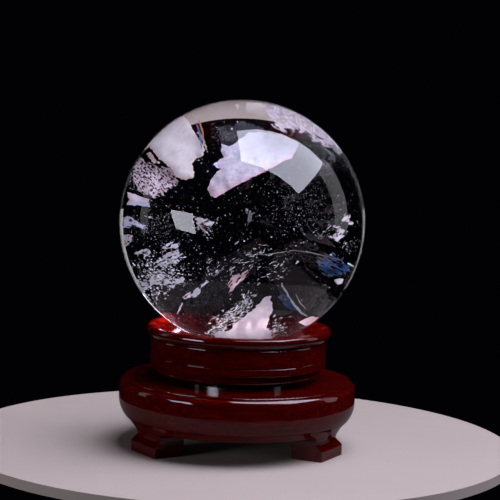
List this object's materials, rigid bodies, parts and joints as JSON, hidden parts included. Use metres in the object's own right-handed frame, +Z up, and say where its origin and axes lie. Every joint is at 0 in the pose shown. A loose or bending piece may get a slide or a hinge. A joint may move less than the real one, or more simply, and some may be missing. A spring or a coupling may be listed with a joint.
{
  "type": "crystal ball",
  "caption": "Clear rock crystal ball resting in the dished cup of a turned red rosewood stand that spins on a hidden thrust bearing.",
  "frame": {"origin": "on the surface that the stand rests on, under the centre of the ball and on the turning axis", "axes": "+Z up along the turning axis; -Y is the front, between two legs; +X is the viewer's right; the third leg is at +Y"},
  "size_m": [0.1, 0.1, 0.1422],
  "materials": {
    "rock_crystal": "polished clear quartz with pale healed fractures",
    "red_lacquered_rosewood": "dark oxblood stain under a thick gloss lacquer",
    "dowel_wood": "bare beech",
    "zinc_plated_steel": "bright zinc plate",
    "bearing_steel": "ground and lightly oiled",
    "bronze": "sintered bronze, oil filled",
    "cage_brass": "turned brass",
    "nylon": "natural nylon"
  },
  "bodies": {
    "stand": {"base_disc": "red_lacquered_rosewood", "leg_back": "red_lacquered_rosewood", "leg_front_left": "red_lacquered_rosewood", "leg_front_right": "red_lacquered_rosewood", "apron_left": "red_lacquered_rosewood", "apron_front": "red_lacquered_rosewood", "apron_right": "red_lacquered_rosewood", "leg_dowels": "dowel_wood", "apron_brads": "zinc_plated_steel", "bearing_lower_race": "bearing_steel", "pivot_bolt": "zinc_plated_steel", "head_washer": "zinc_plated_steel", "shoulder_washer": "zinc_plated_steel", "nut_washer": "zinc_plated_steel", "lock_nut": "zinc_plated_steel", "lock_nut_collar": "nylon"},
    "cage": {"bearing_cage": "cage_brass", "bearing_balls": "bearing_steel"},
    "turntable": {"seat_cup": "red_lacquered_rosewood", "seat_plug": "red_lacquered_rosewood", "pivot_bush": "bronze", "bearing_upper_race": "bearing_steel"},
    "ball": {"crystal_ball": "rock_crystal"}
  },
  "joints": [
    {"name": "cup_spin", "type": "hinge", "parent": "stand", "child": "turntable", "pos_m": [0, 0, 0.0325], "axis": [0, 0, 1], "continuous": true},
    {"name": "cage_spin", "type": "hinge", "parent": "stand", "child": "cage", "pos_m": [0, 0, 0.02692], "axis": [0, 0, 1], "continuous": true},
    {"name": "ball_lift", "type": "slide", "parent": "turntable", "child": "ball", "axis": [0, 0, 1], "range_m": [0, 0.06]}
  ],
  "couplings": [
    {"joint": "cage_spin", "follows": "cup_spin", "ratio": 0.5}
  ]
}
